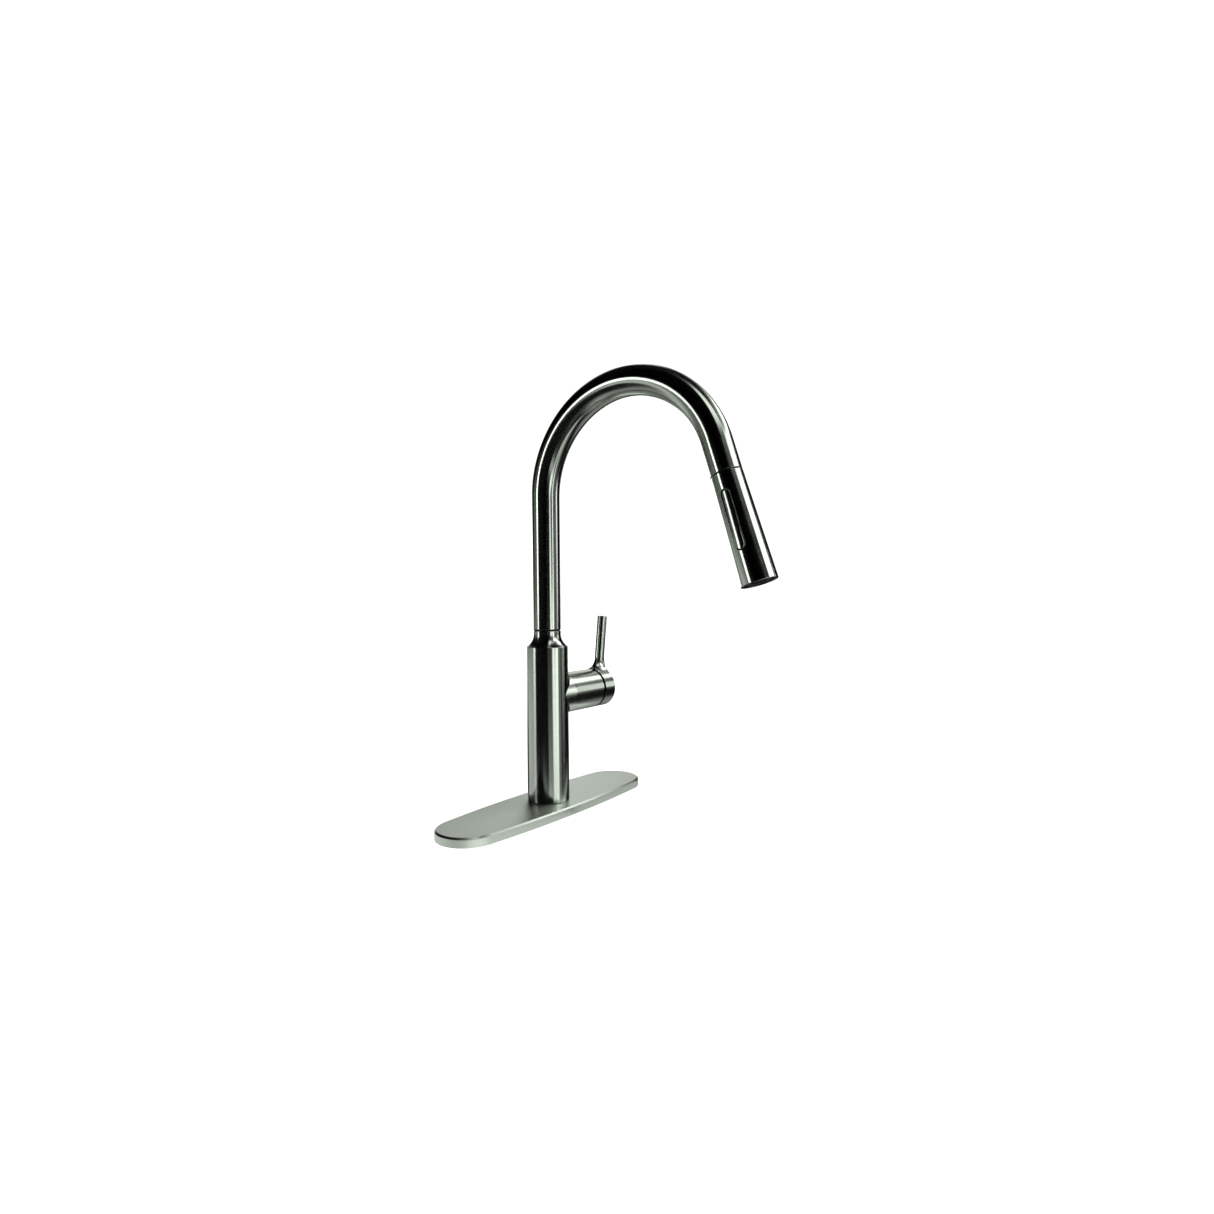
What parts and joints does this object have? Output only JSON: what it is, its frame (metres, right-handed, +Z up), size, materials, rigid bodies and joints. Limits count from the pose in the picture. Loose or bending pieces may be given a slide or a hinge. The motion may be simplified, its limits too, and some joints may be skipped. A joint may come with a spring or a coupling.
{
  "type": "pull down kitchen faucet",
  "caption": "Single-handle kitchen faucet with a gooseneck spout, a docking pull-down spray wand with a rocker button, a side lever and a long oval deck plate.",
  "frame": {"origin": "on the deck at the axis of the column and its deck hole", "axes": "+Z up, +X along the deck plate towards the handle, -Y out over the sink, the way the spout points"},
  "size_m": [0.267, 0.2724, 0.5116],
  "materials": {
    "brushed_nickel": "brushed nickel, satin",
    "brass": "machined",
    "steel": "zinc plated or stainless",
    "copper": "drawn copper",
    "black_plastic": "acetal, satin",
    "white_plastic": "moulded",
    "grey_plastic": "moulded",
    "rubber": "matt",
    "ceramic": "lapped",
    "magnet": "plated ring magnet",
    "braided_hose": "nylon braid over rubber"
  },
  "bodies": {
    "base": {"deck_plate": "brushed_nickel", "deck_plate_liner": "white_plastic", "deck_gasket": "rubber", "body_column": "brushed_nickel", "column_base_seal": "rubber", "mounting_shank": "brass", "clamp_rubber_washer": "rubber", "clamp_steel_washer": "steel", "mounting_nut": "brass", "clamp_screw_front": "steel", "clamp_screw_rear": "steel", "valve_body": "brass", "hot_supply_tube": "copper", "cold_supply_tube": "copper", "outlet_tube": "copper", "hot_supply_fitting": "brass", "cold_supply_fitting": "brass", "outlet_fitting": "brass", "cartridge_base_seal": "rubber", "cartridge_base": "white_plastic", "fixed_ceramic_disc": "ceramic", "cartridge_housing": "white_plastic", "cartridge_nut": "brass", "cartridge_bonnet": "black_plastic", "spout_glide_ring": "black_plastic", "spout_lower_bushing": "black_plastic"},
    "mixer": {"cartridge_guide": "white_plastic", "stem_pin": "steel"},
    "disc_slide": {"moving_ceramic_disc": "ceramic", "disc_carrier": "white_plastic"},
    "handle": {"cartridge_stem": "steel", "handle_lever": "brushed_nickel", "handle_set_screw": "steel", "handle_index_plug": "grey_plastic"},
    "spout": {"spout_tube": "brushed_nickel", "spout_post": "brass", "spout_retaining_clip": "steel", "dock_collar": "black_plastic", "dock_magnet": "magnet", "spray_hose": "braided_hose", "hose_quick_connector": "grey_plastic"},
    "hose_end": {"hose_swivel_fitting": "steel"},
    "wand": {"wand_shell": "brushed_nickel", "wand_neck": "black_plastic", "wand_keeper_ring": "steel", "wand_waterway": "white_plastic", "check_valve": "grey_plastic", "rocker_pin": "steel", "spray_face": "rubber", "aerator": "grey_plastic", "face_ring": "black_plastic"},
    "rocker": {"rocker_button": "brushed_nickel"},
    "diverter": {"diverter_plunger": "white_plastic", "plunger_seal": "rubber"}
  },
  "joints": [
    {"name": "spout_swivel", "type": "hinge", "parent": "base", "child": "spout", "pos_m": [0, 0, 0.1747], "axis": [0, 0, 1], "continuous": true},
    {"name": "wand_pull", "type": "slide", "parent": "spout", "child": "hose_end", "axis": [0, -0.3057, -0.9521], "range_m": [0, 0.4]},
    {"name": "wand_turn", "type": "hinge", "parent": "hose_end", "child": "wand", "pos_m": [0, -0.19505, 0.30484], "axis": [0, -0.3057, -0.9521], "continuous": true},
    {"name": "rocker_tilt", "type": "hinge", "parent": "wand", "child": "rocker", "pos_m": [-0.0094, -0.20734, 0.26657], "axis": [0, -0.9521, 0.3057], "range_deg": [0, 5]},
    {"name": "diverter_push", "type": "slide", "parent": "wand", "child": "diverter", "axis": [1, 0, 0], "range_m": [0, 0.0015]},
    {"name": "handle_turn", "type": "hinge", "parent": "base", "child": "mixer", "pos_m": [0.055, 0, 0.1105], "axis": [1, 0, 0], "range_deg": [-45, 45]},
    {"name": "handle_lift", "type": "hinge", "parent": "mixer", "child": "handle", "pos_m": [0.055, 0, 0.1105], "axis": [0, 1, 0], "range_deg": [0, 8]},
    {"name": "disc_travel", "type": "slide", "parent": "mixer", "child": "disc_slide", "axis": [0, 0, 1], "range_m": [0, 0.0014]}
  ],
  "couplings": [
    {"joint": "diverter_push", "follows": "rocker_tilt", "m_per_rad": 0.017074},
    {"joint": "disc_travel", "follows": "handle_lift", "m_per_rad": 0.0094}
  ]
}
